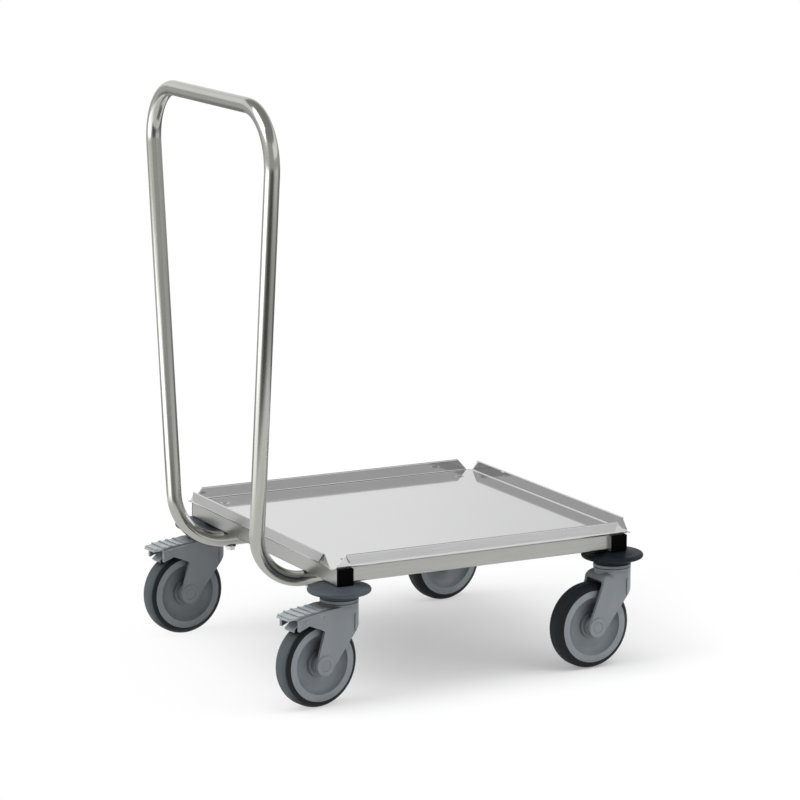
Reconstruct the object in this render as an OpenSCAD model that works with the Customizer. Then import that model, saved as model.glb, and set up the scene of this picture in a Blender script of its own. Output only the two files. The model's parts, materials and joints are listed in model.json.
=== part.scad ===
// Dish rack dolly: a square stainless deck with folded lips on a welded tube frame,
// a tall push handle and four swivel casters, the two at the handle end with toe brakes.
// Millimetres. The floor is z = 0, +X is the direction of travel, the handle is at -X.
// The origin is on the floor, under the middle of the whole dolly's outline.

/* [Deck] */
// Outer side of the square deck sheet
deck_side = 481; // [440:1:520]
// Thickness of the deck sheet
sheet_t = 1.5; // [1:0.1:2]
// Height of the lips above the underside of the deck
lip_h = 19; // [17:0.5:26]
// Distance from a deck corner to the foot of a lip
lip_gap = 8; // [5:0.5:12]
// Length by which each end of a lip is cut back at its top
lip_cut = 15; // [8:0.5:20]
// Width of the flap folded outward and down from the top of a lip
flap_w = 14; // [8:0.5:15]
// Angle between a lip and its flap
flap_angle = 14; // [10:1:25]
// Outer radius of the folds
fold_r = 1.7; // [1.6:0.1:2.6]
// Bore of the drain holes near the deck's corners
drain_d = 8; // [6:0.5:9]
// Width of the dimple around a drain hole
dimple_d = 15; // [13:0.5:16]
// Depth of the dimple around a drain hole
dimple_h = 1.5; // [0.8:0.1:3]
// Distance from the drain holes to the cross tubes
drain_gap = 9; // [8.5:0.5:40]

/* [Frame] */
// Distance between the outer faces of the two cross tubes
frame_l = 465; // [430:1:500]
// Length of the cross tubes over the caps of their plugs
frame_w = 488; // [450:1:520]
// Side of the square cross tubes
tube_s = 25; // [24:0.5:30]
// Wall of the cross tubes and rails
tube_t = 1.5; // [1:0.1:2]
// Outer radius of the edges of the cross tubes and rails
tube_r = 2; // [1.8:0.1:2.2]
// Width of the side rails
rail_w = 20; // [16:0.5:24]
// Height of the side rails
rail_h = 22; // [18:0.5:24]
// Distance from the ends of the cross tubes to the outer faces of the rails
rail_inset = 7; // [4:0.5:10]
// Length of the plugs inside the ends of the cross tubes
plug_l = 6; // [4:0.5:6.5]
// Thickness of the plugs' caps, which cover the tube ends
cap_t = 2; // [1:0.1:2.4]

/* [Handle] */
// Outer diameter of the handle tube
handle_d = 22; // [18:0.5:26]
// Wall of the handle tube
handle_t = 1.5; // [1:0.1:2.5]
// Height of the top bar's centre line
handle_h = 828; // [700:1:950]
// Distance of the handle's upright plane behind the rear cross tube
handle_offset = 74; // [70:0.5:90]
// Distance between the centre lines of the two feet
handle_foot_w = 268; // [240:1:290]
// Outward lean of the legs
handle_lean = 6.3; // [0:0.1:10]
// Radius of the two top bends
handle_top_r = 78; // [50:1:90]
// Radius of the two bends above the feet
handle_foot_r = 74; // [60:1:90]
// Length of the feet past the inner face of the rear cross tube
handle_past = 24; // [14:1:60]
// Length of the plugs inside the ends of the feet
foot_plug_l = 9; // [5:0.5:9]
// Thickness of the heads of those plugs
foot_plug_head = 2; // [1:0.5:4]
// Diameter of the handle bolts
handle_bolt_d = 8; // [6:0.5:8]
// Width across the corners of the bolt heads
bolt_head_w = 14; // [12:0.5:16]
// Height of the bolt heads
bolt_head_h = 4.5; // [3:0.5:5]
// Thickness of the flange under a bolt head
bolt_flange_t = 1.5; // [1:0.1:2]
// Width of the square nuts on the handle bolts
handle_nut_w = 16; // [14:0.5:18]
// Thickness of those nuts
handle_nut_t = 7; // [5:0.5:10]

/* [Casters] */
// Distance from a cross tube's end to the swivel axis
caster_inset = 20; // [19.5:0.5:40]
// Trail of the wheel behind the swivel axis
trail = 40; // [36:0.5:42]
// Space between the tyre and the fork crown
tyre_clear = 4; // [3.5:0.1:6]
// Thickness of the fork crown
crown_t = 15; // [13:0.5:18]
// Radius of the fork crown
crown_r = 27; // [26:0.5:28]
// Gap between the crown and the swivel plate
swivel_gap = 1; // [0.6:0.1:2]
// Thickness of the swivel plate
plate_t = 4; // [3.5:0.1:6]
// Radius of the swivel plate
plate_r = 27.3; // [26:0.1:29]
// Height of the bumper disc
disc_h = 20; // [16:0.5:24]
// Radius of the bumper disc
disc_r = 45; // [40:0.5:50]
// Diameter of the kingpin and of the stem above it
stem_d = 12; // [10:0.5:12]
// Length of stem above the nut inside the frame
stem_past = 2; // [0:0.5:3]
// Width of the square stem nuts
stem_nut_w = 20; // [18:0.5:20.5]
// Thickness of the stem nuts
stem_nut_t = 10; // [6:0.5:12]
// Radius of the collar that holds the kingpin in the crown
collar_r = 10; // [9:0.5:12]
// Thickness of that collar
collar_t = 4; // [3:0.1:4.5]
// Number of balls in a swivel bearing
ball_n = 14; // [8:1:18]
// Diameter of the balls
ball_d = 4.8; // [4:0.1:5.2]
// Radius of the ring of balls
ball_ring_r = 19.5; // [18:0.5:20]
// Swivel angle of the rear right caster, in degrees from straight ahead
swing_rear_right = 189; // [150:1:210]
// Swivel angle of the rear left caster
swing_rear_left = 185; // [150:1:210]
// Swivel angle of the front right caster
swing_front_right = 184; // [150:1:210]
// Swivel angle of the front left caster
swing_front_left = 187; // [150:1:210]

/* [Forks] */
// Gap between the legs of a fork
fork_gap = 38; // [37.5:0.1:39]
// Thickness of a fork leg
leg_t = 5; // [4:0.1:5.5]
// Distance from the crown's underside down to the knee at the front of a leg
knee_drop = 23.5; // [18:0.5:30]
// Distance from the swivel axis to the top of a braked leg's rear edge
leg_rear = 36; // [32:0.5:38]
// Radius of the eye around the axle
eye_r = 14; // [12:0.5:16]
// Height of the eye's face above the leg
eye_step = 0.8; // [0.4:0.1:2]
// Thickness of the curved wall at the front of a fork
skirt_t = 3; // [2:0.1:3.5]
// Depth of a fork's shoulders below the top of its crown
shoulder_drop = 3; // [2.5:0.1:4]
// Radius of the hood behind the crown of a fork with no brake
hood_r = 19; // [18:0.5:21]
// Distance of that hood's centre behind the swivel axis
hood_x = 12; // [11:0.5:13]
// Depth of that hood's centre below the crown's underside
hood_drop = 5; // [4:0.5:6]
// Radius along the upper edges of that hood
hood_round = 12; // [6:0.5:13]
// Diameter of the axle bolt
axle_d = 8; // [6:0.5:9]
// Radius of the recess for the axle's head and nut
recess_r = 8; // [7:0.1:9]
// Depth of that recess
recess_h = 2.4; // [1.5:0.1:3]
// Thickness of the axle's head and nut
axle_head_h = 2.2; // [1.2:0.1:2.4]
// Length by which the axle passes its nut
axle_past = 1; // [0:0.1:1.5]

/* [Wheels] */
// Diameter of the wheels over the tyres
wheel_d = 125; // [120:1:130]
// Width of the tyres and rims
wheel_w = 32; // [28:0.5:34]
// Radius of the tyres' shoulders
shoulder_r = 12; // [11:0.5:14]
// Radius of the seat between the rim and the tyre
seat_r = 53; // [50:0.5:54]
// Depth of the rim's flat ring below the tyre's side
ring_depth = 0.5; // [0.3:0.1:2]
// Width of the rim's flat ring
ring_w = 10; // [7:0.5:11]
// Depth of the bowl in each side of the rim
bowl_h = 10.5; // [6:0.5:11]
// Radius of the curve from the bowl's wall to its floor
bowl_round = 14; // [11.5:0.5:16]
// Width of the raised foot around the hub
hub_foot = 4; // [2:0.5:6]
// Radius of the hub
hub_r = 14; // [13:0.5:16]
// Length of the hub
hub_l = 36; // [34:0.5:37.2]
// Outer radius of the ball bearings
bearing_r = 11; // [10:0.5:12]
// Width of the ball bearings
bearing_w = 7; // [5:0.5:9]
// Space between a bearing and the fork leg
bearing_gap = 0.3; // [0.2:0.05:0.5]

/* [Brakes] */
// Distance of the pedal's hinge pin behind the swivel axis
hinge_x = 41; // [39:0.5:43]
// Height of the hinge pin above the crown's underside
hinge_rise = 2; // [1.8:0.1:4]
// Distance of the stop pin behind the swivel axis
stop_x = 72; // [71:0.5:75]
// Height of the stop pin above the crown's underside
stop_rise = 0; // [-1:0.1:0.4]
// Radius of the brake pins
pin_r = 2; // [1.6:0.1:2.2]
// Length by which a pin stands out of the fork
pin_past = 0.6; // [0.3:0.1:1.2]
// Length of the fork's cheek behind the stop pin
cheek_l = 12; // [9:0.5:13]
// Depth of the cheek's lower corner below the stop pin
cheek_drop = 12; // [10:0.5:13]
// Height of the cheek's upper edge above the stop pin
cheek_rise = 6; // [5:0.5:7]
// Depth of the arch below the crown's underside, where it leaves the leg
arch_drop = 15; // [13:0.5:16]
// Downward travel of the pedal
pedal_travel = 6; // [3:0.5:6]
// Distance from the swivel axis to the pedal's tip
pedal_tip = 96; // [90:0.5:98]
// Height of the pedal's top above the crown's underside, at its inner end
pedal_rise_in = 13; // [12:0.1:14]
// Height of the pedal's top above the crown's underside, over the stop pin
pedal_rise_mid = 9.6; // [9.4:0.1:11]
// Height of the pedal's top above the crown's underside, at its tip
pedal_rise_tip = 5.5; // [4:0.1:8]
// Thickness of the pedal
pedal_t = 2.8; // [2:0.1:2.8]
// Width of the pedal's tip
pedal_tip_w = 28; // [20:0.5:36]
// Number of treads across the pedal
tread_n = 5; // [3:1:7]
// Width of a tread
tread_w = 4; // [2:0.1:5]
// Height of a tread
tread_h = 1.5; // [0.6:0.1:1.8]
// Width of the brake pad
pad_w = 18; // [12:0.5:19]
// Length of the brake pad
pad_l = 9; // [6:0.5:9]
// Gap between the brake pad and the tyre with the brake off
pad_gap = 3.1; // [3:0.1:4]
// Width of the release lever
lever_w = 20; // [14:0.5:21]
// Length of the release lever
lever_l = 19; // [14:0.5:20]
// Thickness of the release lever
lever_t = 2; // [1.6:0.1:2.4]
// Radius of the release lever's hub
lever_hub_r = 3.2; // [3:0.1:3.4]
// Downward slope of the release lever
lever_slope = 42; // [36:1:46]
// Diameter of the brake spring's wire
spring_wire = 1; // [0.8:0.1:1.2]
// Number of turns in the brake spring
spring_turns = 6; // [4:1:7]

/* [Fits] */
// Radial clearance of a shaft that turns in a bore
running = 0.05; // [0.02:0.01:0.1]
// Clearance between parts that are fixed to each other
seating = 0.05; // [0.02:0.01:0.2]
// Clearance of a bolt in its hole
bolt_clear = 0.3; // [0.2:0.05:0.6]
// Clearance between parts that move past each other
moving = 0.5; // [0.3:0.05:1]

/* [Hidden] */
$fn = 64;
// Small overlap that joins the shapes of one solid
join = 0.01;
// Step that lets a flat face cut a round one instead of just touching it
bite = 0.05;
// Length of a cutter that goes right through
far = 400;

wheel_r = wheel_d / 2;
crown_z = wheel_d + tyre_clear;
crown_top = crown_z + crown_t;
plate_z = crown_top + swivel_gap;
disc_z = plate_z + plate_t;
frame_z = disc_z + disc_h;
deck_z = frame_z + tube_s;
caster_x = (frame_l - tube_s) / 2;
caster_y = frame_w / 2 - caster_inset;
stem_r = stem_d / 2;
axle_r = axle_d / 2;
clear_r = wheel_r + tyre_clear;
fork_half = fork_gap / 2;
leg_face = fork_half + leg_t;
eye_face = leg_face + eye_step;
leg_front = sqrt(crown_r * crown_r - leg_face * leg_face);
knee_z = crown_z - knee_drop;
shoulder_z = crown_top - shoulder_drop;
hood_z = crown_z - hood_drop;
hinge_z = crown_z + hinge_rise;
stop_z = crown_z + stop_rise;
handle_r = handle_d / 2;
foot_z = frame_z - handle_r;
handle_x = -frame_l / 2 - handle_offset;
// Where the straight part of a leg ends, measured along it, and half the length of the top bar
top_turn = handle_top_r * tan((90 + handle_lean) / 2);
leg_end = round(100 * ((handle_h - foot_z) / cos(handle_lean) - top_turn)) / 100;
top_bar_half = handle_foot_w / 2 + (handle_h - foot_z) * tan(handle_lean) - top_turn;
// Gap at each end of the top bar, closed by the weld on the real handle
bar_gap = 0.02;

// Reach of a tyre behind its swivel axis, with the caster swung to an angle
function tyre_reach(swing) = -trail * cos(swing) + (wheel_r - shoulder_r) * abs(cos(swing))
    + (wheel_w / 2 - shoulder_r) * abs(sin(swing)) + shoulder_r;
rear_reach = max(caster_x + tyre_reach(swing_rear_right), caster_x + tyre_reach(swing_rear_left),
    handle_r - handle_x);
front_reach = caster_x + disc_r;
origin_x = (rear_reach - front_reach) / 2;

// Point where the line from p touches the circle of radius r around c, on one side or the other
function touch(p, c, r, side) =
    let (d = c - p, reach = norm(d), turn = atan2(d[1], d[0]) + side * asin(r / reach))
    p + sqrt(reach * reach - r * r) * [cos(turn), sin(turn)];

// Moves the frame's own centre to its place over the origin
module placed() {
    translate([origin_x, 0, 0])
        children();
}

// Places a caster piece that is drawn with its swivel axis on Z and its wheel toward +X
module at_caster(x_side, y_side, swing) {
    placed()
        translate([x_side * caster_x, y_side * caster_y, 0])
            rotate([0, 0, swing])
                children();
}

module at_rear_right() {
    at_caster(-1, -1, swing_rear_right)
        children();
}

module at_rear_left() {
    at_caster(-1, 1, swing_rear_left)
        children();
}

module at_front_right() {
    at_caster(1, -1, swing_front_right)
        children();
}

module at_front_left() {
    at_caster(1, 1, swing_front_left)
        children();
}

// Extrudes an outline drawn in X and Z between two distances across the caster
module across(low, high) {
    translate([0, high, 0])
        rotate([90, 0, 0])
            linear_extrude(height = high - low)
                children();
}

// Turns a profile of radius and width around the wheel's axle
module on_axle() {
    translate([trail, 0, wheel_r])
        rotate([-90, 0, 0])
            children();
}

// Copies a piece to both sides across the caster
module both_sides() {
    children();
    mirror([0, 1, 0])
        children();
}

// Rectangle with round corners, centred
module round_rect(w, h, r) {
    square([w - 2 * r, h], center = true);
    square([w, h - 2 * r], center = true);
    for (x = [-1, 1], y = [-1, 1])
        translate([x * (w / 2 - r), y * (h / 2 - r)])
            circle(r);
}

// Outline of a hollow tube with round edges
module tube_outline(w, h) {
    difference() {
        round_rect(w, h, tube_r);
        round_rect(w - 2 * tube_t, h - 2 * tube_t, tube_r - tube_t);
    }
}

// Deck

// One lip with its flap, drawn at the deck's +Y side
module lip() {
    foot = deck_side / 2 - lip_gap;
    top = foot - lip_cut;
    slope = lip_cut / (lip_h - sheet_t);
    flap_end = top - slope * flap_w / 2;
    outer = deck_side / 2;
    translate([0, outer, deck_z])
        rotate([90, 0, 0])
            linear_extrude(height = sheet_t)
                polygon([[-foot, 0], [foot, 0], [foot, sheet_t], [top, lip_h - fold_r / 2],
                    [-top, lip_h - fold_r / 2], [-foot, sheet_t]]);
    // The fold along the top joins the lip to its flap
    translate([-top, outer + fold_r - sheet_t, deck_z + lip_h - fold_r])
        rotate([0, 90, 0])
            intersection() {
                cylinder(r = fold_r, h = 2 * top);
                translate([-fold_r, -fold_r, 0])
                    cube([1.5 * fold_r, 2 * fold_r, 2 * top]);
            }
    translate([0, outer + fold_r - sheet_t, deck_z + lip_h - fold_r])
        rotate([flap_angle, 0, 0])
            translate([0, fold_r - bite, 0])
                rotate([90, 0, 0])
                    linear_extrude(height = sheet_t)
                        polygon([[-top, 0], [top, 0], [flap_end, fold_r - flap_w],
                            [-flap_end, fold_r - flap_w]]);
}

module deck_tray() {
    drain = frame_l / 2 - tube_s - drain_gap;
    placed()
        color([0.87, 0.87, 0.88]) {
            difference() {
                union() {
                    translate([-deck_side / 2, -deck_side / 2, deck_z])
                        cube([deck_side, deck_side, sheet_t]);
                    for (turn = [0 : 90 : 270])
                        rotate([0, 0, turn])
                            lip();
                    // Dimples are pressed down around the drain holes
                    for (x = [-drain, drain], y = [-drain, drain])
                        translate([x, y, deck_z - dimple_h])
                            cylinder(r1 = drain_d / 2 + sheet_t, r2 = dimple_d / 2, h = dimple_h + join);
                }
                for (x = [-drain, drain], y = [-drain, drain])
                    translate([x, y, deck_z - dimple_h]) {
                        translate([0, 0, sheet_t / 2])
                            cylinder(r1 = drain_d / 2, r2 = dimple_d / 2 - sheet_t / 2,
                                h = dimple_h + sheet_t / 2 + join);
                        translate([0, 0, -sheet_t])
                            cylinder(d = drain_d, h = far);
                    }
            }
        }
}

// Frame

// A cross tube with holes in its underside for the caster stems
module cross_tube(handle_holes) {
    color([0.66, 0.66, 0.63])
        difference() {
            translate([0, frame_w / 2 - cap_t, frame_z + tube_s / 2])
                rotate([90, 0, 0])
                    linear_extrude(height = frame_w - 2 * cap_t)
                        tube_outline(tube_s, tube_s);
            for (y = [-caster_y, caster_y])
                translate([0, y, frame_z - tube_t])
                    cylinder(r = stem_r + bolt_clear, h = 3 * tube_t);
            if (handle_holes)
                for (y = [-1, 1])
                    translate([0, y * handle_foot_w / 2, frame_z - tube_t])
                        cylinder(r = handle_bolt_d / 2 + bolt_clear, h = 3 * tube_t);
        }
}

module rear_cross_tube() {
    placed()
        translate([-caster_x, 0, 0])
            cross_tube(true);
}

module front_cross_tube() {
    placed()
        translate([caster_x, 0, 0])
            cross_tube(false);
}

// A side rail between the cross tubes, flush with their tops
module side_rail(side) {
    rail_l = frame_l - 2 * tube_s;
    placed()
        color([0.66, 0.66, 0.63])
            translate([-rail_l / 2, side * (frame_w / 2 - rail_inset - rail_w / 2), deck_z - rail_h / 2])
                rotate([90, 0, 90])
                    linear_extrude(height = rail_l)
                        tube_outline(rail_w, rail_h);
}

module left_side_rail() {
    side_rail(1);
}

module right_side_rail() {
    side_rail(-1);
}

// Hollow plugs with square caps, pressed into the four ends of the cross tubes
module tube_end_plugs() {
    plug_s = tube_s - 2 * tube_t - 2 * seating;
    plug_r = tube_r - tube_t;
    placed()
        color([0.04, 0.04, 0.05])
            for (x = [-caster_x, caster_x], y = [-1, 1])
                translate([x, y * frame_w / 2, frame_z + tube_s / 2])
                    rotate([y * 90, 0, 0]) {
                        linear_extrude(height = cap_t)
                            round_rect(tube_s, tube_s, tube_r);
                        difference() {
                            linear_extrude(height = cap_t + plug_l)
                                round_rect(plug_s, plug_s, plug_r);
                            translate([0, 0, cap_t])
                                linear_extrude(height = 2 * plug_l)
                                    square(plug_s - 4 * tube_t, center = true);
                        }
                    }
}

// Handle

// Outline of the handle tube
module handle_outline() {
    difference() {
        circle(handle_r);
        circle(handle_r - handle_t);
    }
}

// One leg of the handle with its foot, from the foot's open end to the end of the top bend
module handle_leg(side) {
    foot_end = -frame_l / 2 + tube_s + handle_past;
    placed()
        color([0.62, 0.62, 0.58])
            mirror([0, side < 0 ? 1 : 0, 0])
                difference() {
                    translate([handle_x, handle_foot_w / 2, foot_z])
                        rotate([-handle_lean, 0, 0]) {
                            // Foot under the cross tube
                            translate([handle_foot_r, 0, 0])
                                rotate([0, 90, 0])
                                    linear_extrude(height = foot_end - handle_x - handle_foot_r)
                                        handle_outline();
                            // Bend from the foot up into the leg
                            translate([handle_foot_r, 0, handle_foot_r])
                                rotate([90, 0, 0])
                                    rotate([0, 0, 180])
                                        rotate_extrude(angle = 90)
                                            translate([handle_foot_r, 0])
                                                handle_outline();
                            // Straight leg
                            translate([0, 0, handle_foot_r])
                                linear_extrude(height = leg_end - handle_foot_r)
                                    handle_outline();
                            // Bend from the leg toward the top bar
                            translate([0, -handle_top_r, leg_end])
                                rotate([0, 90, 0])
                                    rotate([0, 0, 90])
                                        rotate_extrude(angle = 90 + handle_lean)
                                            translate([handle_top_r, 0])
                                                handle_outline();
                        }
                    translate([-caster_x, handle_foot_w / 2, foot_z - handle_d])
                        cylinder(r = handle_bolt_d / 2 + bolt_clear, h = 2 * handle_d);
                }
}

module left_handle_leg() {
    handle_leg(1);
}

module right_handle_leg() {
    handle_leg(-1);
}

// Straight bar between the two top bends
module handle_top_bar() {
    placed()
        color([0.62, 0.62, 0.58])
            translate([handle_x, bar_gap - top_bar_half, handle_h])
                rotate([-90, 0, 0])
                    linear_extrude(height = 2 * top_bar_half - 2 * bar_gap)
                        handle_outline();
}

module handle_end_plugs() {
    placed()
        color([0.05, 0.05, 0.06])
            for (y = [-1, 1])
                translate([-frame_l / 2 + tube_s + handle_past, y * handle_foot_w / 2, foot_z])
                    rotate([0, 90, 0]) {
                        cylinder(r = handle_r, h = foot_plug_head);
                        translate([0, 0, -foot_plug_l])
                            cylinder(r = handle_r - handle_t - seating, h = foot_plug_l + join);
                    }
}

// Flanged bolts that pass up through the feet into the rear cross tube
module handle_bolts() {
    under = foot_z - handle_r;
    tip = frame_z + tube_t + handle_nut_t + tube_t;
    placed()
        color([0.7, 0.7, 0.7])
            for (y = [-1, 1])
                translate([-caster_x, y * handle_foot_w / 2, under - bolt_flange_t - bolt_head_h]) {
                    cylinder(d = bolt_head_w, h = bolt_head_h + join, $fn = 6);
                    translate([0, 0, bolt_head_h])
                        cylinder(r = handle_bolt_d, h = bolt_flange_t);
                    cylinder(d = handle_bolt_d, h = tip - under + bolt_flange_t + bolt_head_h);
                }
}

// Square nuts that lie in the rear cross tube
module handle_nuts() {
    placed()
        color([0.7, 0.7, 0.7])
            for (y = [-1, 1])
                translate([-caster_x, y * handle_foot_w / 2, frame_z + tube_t])
                    square_nut(handle_nut_w, handle_nut_t, handle_bolt_d / 2 + seating);
}

module square_nut(w, t, bore) {
    difference() {
        translate([-w / 2, -w / 2, 0])
            cube([w, w, t]);
        translate([0, 0, -t])
            cylinder(r = bore, h = 3 * t);
    }
}

// Square nuts in the ends of the cross tubes that hold the caster stems
module stem_nuts() {
    placed()
        color([0.7, 0.7, 0.7])
            for (x = [-caster_x, caster_x], y = [-caster_y, caster_y])
                translate([x, y, frame_z + tube_t])
                    square_nut(stem_nut_w, stem_nut_t, stem_r + seating);
}

// Casters: every piece below is drawn with its swivel axis on Z and its wheel toward +X

// Soft dish between the frame and the caster that buffers walls and furniture
module bumper_disc() {
    neck = crown_r - 1;
    neck_h = disc_h * 0.3;
    rim_h = disc_h * 0.36;
    rim_z = disc_z + disc_h * 0.6;
    rim_in = disc_r - rim_h / 2;
    color([0.2, 0.23, 0.27])
        rotate_extrude()
            difference() {
                union() {
                    polygon([[0, disc_z], [neck, disc_z], [neck, disc_z + neck_h],
                        [disc_r * 0.75, disc_z + neck_h * 1.1], [rim_in, rim_z - rim_h / 2 + bite],
                        [rim_in, rim_z + rim_h / 2 - bite], [disc_r * 0.75, rim_z + rim_h * 0.62],
                        [disc_r * 0.5, frame_z], [0, frame_z]]);
                    translate([rim_in, rim_z])
                        circle(rim_h / 2);
                }
                translate([-far, 0])
                    square([far + stem_r + bolt_clear, far]);
            }
}

// Plate with the threaded stem above it and the kingpin below it
module swivel_plate() {
    groove = ball_d / 2 + running;
    ball_z = crown_top + swivel_gap / 2;
    color([0.6, 0.62, 0.64])
        difference() {
            union() {
                translate([0, 0, plate_z])
                    cylinder(r = plate_r, h = plate_t);
                translate([0, 0, crown_z - collar_t - moving])
                    cylinder(r = stem_r, h = plate_z - crown_z + collar_t + moving + join);
                translate([0, 0, disc_z])
                    cylinder(r = stem_r, h = disc_h + tube_t + stem_nut_t + stem_past);
            }
            rotate_extrude()
                translate([ball_ring_r, ball_z])
                    circle(groove);
        }
}

// Collar pressed on the lower end of each kingpin
module kingpin_collars() {
    for (x = [-1, 1], y = [-1, 1])
        at_caster(x, y, 0)
            color([0.6, 0.62, 0.64])
                translate([0, 0, crown_z - moving - collar_t])
                    difference() {
                        cylinder(r = collar_r, h = collar_t);
                        translate([0, 0, -collar_t])
                            cylinder(r = stem_r + seating, h = 3 * collar_t);
                    }
}

module swivel_balls() {
    color([0.75, 0.75, 0.76])
        for (i = [0 : ball_n - 1])
            rotate([0, 0, i * 360 / ball_n])
                translate([ball_ring_r, 0, crown_top + swivel_gap / 2])
                    sphere(d = ball_d);
}

// Outline of a fork leg, with the cheek that carries the brake pins where there is a brake
module leg_outline(braked) {
    axle = [trail, wheel_r];
    knee = [-leg_front, knee_z];
    heel = braked ? [leg_rear, crown_z - bite] : [hood_x + hood_r - bite, hood_z];
    polygon([[-leg_front, shoulder_z], knee, touch(knee, axle, eye_r - bite, -1), axle,
        touch(heel, axle, eye_r - bite, 1), heel, [hood_x, shoulder_z]]);
    translate(axle)
        circle(eye_r);
    if (braked) {
        arch_in = (hinge_x + leg_rear + eye_r) / 2;
        arch_out = stop_x - pin_r - cheek_rise / 2;
        rear = stop_x + cheek_l;
        polygon([[0, crown_z - arch_drop - cheek_rise], [leg_rear, crown_z - arch_drop - cheek_rise],
            [arch_in, crown_z - arch_drop], [arch_out, stop_z - cheek_rise], [rear, stop_z - cheek_drop],
            [rear, stop_z + cheek_rise / 2], [stop_x, stop_z + cheek_rise],
            [hinge_x + cheek_l, hinge_z + cheek_rise], [crown_r, shoulder_z], [0, shoulder_z]]);
    }
}

// Side view of the hood behind the crown of a fork with no brake
module hood_outline() {
    intersection() {
        translate([hood_x, hood_z])
            circle(hood_r);
        translate([0, hood_z - 1])
            square([far, shoulder_z - hood_z + 1]);
    }
}

// Section across a fork with round shoulders
module shoulders() {
    round_y = leg_face - hood_round + bite;
    round_z = shoulder_z - hood_round + bite;
    translate([-crown_r, 0])
        square([2 * crown_r, round_z]);
    translate([-round_y, 0])
        square([2 * round_y, crown_top]);
    for (side = [-1, 1])
        translate([side * round_y, round_z])
            circle(hood_round);
}

module fork(braked) {
    groove = ball_d / 2 + running;
    ball_z = crown_top + swivel_gap / 2;
    skirt_z = knee_z + (crown_r - leg_front) * 0.85;
    color([0.49, 0.52, 0.53])
        difference() {
            union() {
                // Crown, round in front and flush with the legs at its sides
                translate([0, 0, shoulder_z])
                    cylinder(r = crown_r, h = crown_top - shoulder_z);
                intersection() {
                    translate([0, 0, crown_z])
                        cylinder(r = crown_r, h = crown_t - 1);
                    translate([-far, -leg_face, 0])
                        cube([2 * far, 2 * leg_face, far]);
                }
                if (braked)
                    both_sides()
                        across(fork_half, leg_face)
                            leg_outline(true);
                else
                    intersection() {
                        union() {
                            both_sides()
                                across(fork_half, leg_face)
                                    leg_outline(false);
                            both_sides()
                                across(0, leg_face)
                                    hood_outline();
                        }
                        translate([-far / 2, 0, 0])
                            rotate([90, 0, 90])
                                linear_extrude(height = far)
                                    shoulders();
                    }
                both_sides()
                    across(fork_half, eye_face)
                        translate([trail, wheel_r])
                            circle(eye_r);
                // Curved wall that joins the legs at the front
                intersection() {
                    translate([0, 0, knee_z])
                        difference() {
                            cylinder(r = crown_r, h = crown_z - knee_z + join);
                            translate([0, 0, -1])
                                cylinder(r = crown_r - skirt_t, h = knee_drop + 1);
                        }
                    across(-crown_r, crown_r)
                        polygon([[-crown_r - 1, crown_z + 1], [-leg_front + 3, crown_z + 1],
                            [-leg_front + 3, knee_z], [-leg_front, knee_z], [-crown_r - 1, skirt_z]]);
                }
            }
            // Room for the wheel
            across(-fork_half, fork_half)
                translate([trail, wheel_r])
                    circle(clear_r);
            // Room under the crown for the kingpin's collar
            translate([0, 0, knee_z - 1])
                intersection() {
                    cylinder(r = crown_r - skirt_t, h = knee_drop + 1);
                    translate([-far, -fork_half, 0])
                        cube([2 * far, fork_gap, far]);
                }
            cylinder(r = stem_r + running, h = far);
            rotate_extrude()
                translate([ball_ring_r, ball_z])
                    circle(groove);
            on_axle()
                cylinder(r = axle_r + running, h = far, center = true);
            both_sides()
                on_axle()
                    translate([0, 0, eye_face - recess_h])
                        cylinder(r = recess_r, h = far);
            if (braked) {
                for (pin = [[hinge_x, hinge_z], [stop_x, stop_z]])
                    across(-far / 2, far / 2)
                        translate(pin)
                            circle(pin_r + seating);
                // Room for the pedal behind the crown
                translate([crown_r - 1, -fork_half, crown_z - 1])
                    difference() {
                        cube([far, fork_gap, far]);
                        translate([1 - crown_r, fork_half, -1])
                            cylinder(r = crown_r, h = far + 2);
                    }
            }
        }
}

module axle() {
    inner = eye_face - recess_h;
    color([0.5, 0.53, 0.55])
        on_axle() {
            translate([0, 0, -inner - axle_head_h - axle_past])
                cylinder(r = axle_r, h = 2 * inner + axle_head_h + axle_past + join);
            translate([0, 0, inner])
                cylinder(r = recess_r - bolt_clear, h = axle_head_h);
        }
}

module axle_nut() {
    inner = eye_face - recess_h;
    color([0.7, 0.7, 0.7])
        on_axle()
            translate([0, 0, -inner - axle_head_h])
                difference() {
                    cylinder(r = recess_r - bolt_clear, h = axle_head_h, $fn = 6);
                    translate([0, 0, -axle_head_h])
                        cylinder(r = axle_r + seating, h = 3 * axle_head_h);
                }
}

// Rim with a flat outer ring and a bowl on each side down to the hub
module rim() {
    ring_z = wheel_w / 2 - ring_depth;
    ring_in = seat_r - ring_w;
    floor_z = ring_z - bowl_h;
    // The curve's centre, set so that the bowl's wall meets the ring at its inner edge
    curve_z = floor_z + bowl_round - bite;
    curve_x = ring_in - sqrt(bowl_round * bowl_round - pow(curve_z - ring_z, 2));
    hub_z = hub_l / 2;
    color([0.5, 0.53, 0.55])
        on_axle()
            difference() {
                union() {
                    rotate_extrude()
                        difference() {
                            translate([0, -ring_z])
                                square([seat_r - seating, 2 * ring_z]);
                            for (side = [-1, 1]) {
                                translate([curve_x, side * curve_z])
                                    circle(bowl_round);
                                translate([0, side > 0 ? floor_z : -floor_z - far])
                                    square([curve_x, far]);
                            }
                        }
                    cylinder(r = hub_r, h = hub_l, center = true);
                    // Raised foot of the hub on both sides
                    both_faces(floor_z)
                        cylinder(r1 = hub_r + hub_foot + 1, r2 = hub_r + hub_foot, h = hub_foot);
                }
                cylinder(r = bearing_r - 3, h = far, center = true);
                both_faces(hub_z - bearing_w + fork_half - hub_z - bearing_gap)
                    cylinder(r = bearing_r + seating, h = far);
            }
}

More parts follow.
